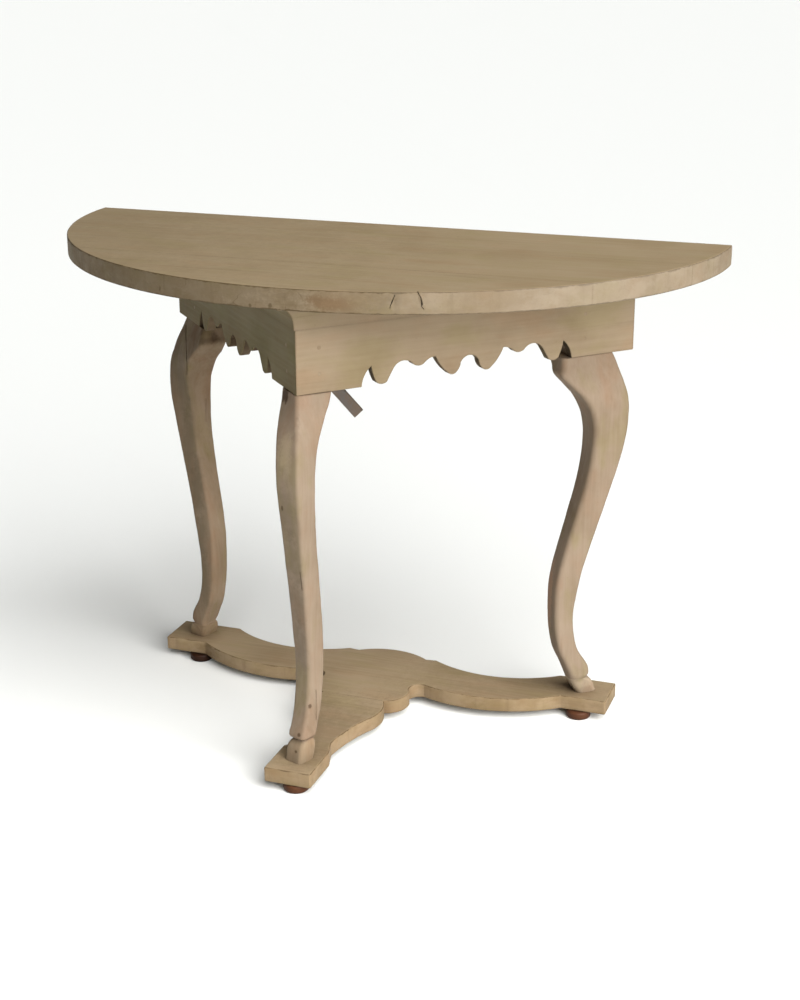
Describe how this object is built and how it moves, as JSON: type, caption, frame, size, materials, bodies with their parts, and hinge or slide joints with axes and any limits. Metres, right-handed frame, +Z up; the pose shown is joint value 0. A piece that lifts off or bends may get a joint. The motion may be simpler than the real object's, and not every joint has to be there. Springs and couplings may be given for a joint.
{
  "type": "demilune table",
  "caption": "Half-oval side table with a straight back, corner apron with scalloped rails, cabriole legs with hoof feet, a low scrolled platform and a swinging linking bar.",
  "frame": {"origin": "on the floor under the middle of the top's bounding box", "axes": "+Z up, +Y towards the straight back edge that stands against a wall or a twin table, +X along the straight back edge"},
  "size_m": [1.06, 0.4909, 0.77],
  "materials": {
    "top_wood": "worn pale wash on boards, matt",
    "pale_wood": "worn pale paint, matt",
    "platform_wood": "worn pale paint, yellowish edges, matt",
    "plain_wood": "bare softwood, aged",
    "dowel_wood": "bare turned hardwood",
    "dark_wood": "reddish-brown stain, satin",
    "screw_steel": "aged steel",
    "nail_iron": "iron heads painted over",
    "bar_iron": "dull wrought iron"
  },
  "bodies": {
    "table": {"top_board_front": "top_wood", "top_board_middle": "top_wood", "top_board_back": "top_wood", "top_board_dowels": "dowel_wood", "top_screws": "screw_steel", "apron_rail_right": "pale_wood", "apron_rail_left": "pale_wood", "apron_rail_back": "plain_wood", "cove_moulding_right": "pale_wood", "cove_moulding_left": "pale_wood", "rail_nails": "nail_iron", "glue_blocks": "plain_wood", "centre_bearer": "plain_wood", "leg_right": "pale_wood", "leg_left": "pale_wood", "leg_front": "pale_wood", "platform_cross_board": "platform_wood", "platform_front_board": "platform_wood", "platform_dowels": "dowel_wood", "foot_front": "dark_wood", "foot_right": "dark_wood", "foot_left": "dark_wood", "foot_screws": "screw_steel", "link_pivot_screw": "screw_steel", "link_washer": "screw_steel"},
    "bar": {"link_bar": "bar_iron"}
  },
  "joints": [
    {"name": "link_bar_swing", "type": "hinge", "parent": "table", "child": "bar", "pos_m": [-0.257, 0.2385, 0.64], "axis": [0, 1, 0], "range_deg": [-60, 150]}
  ]
}
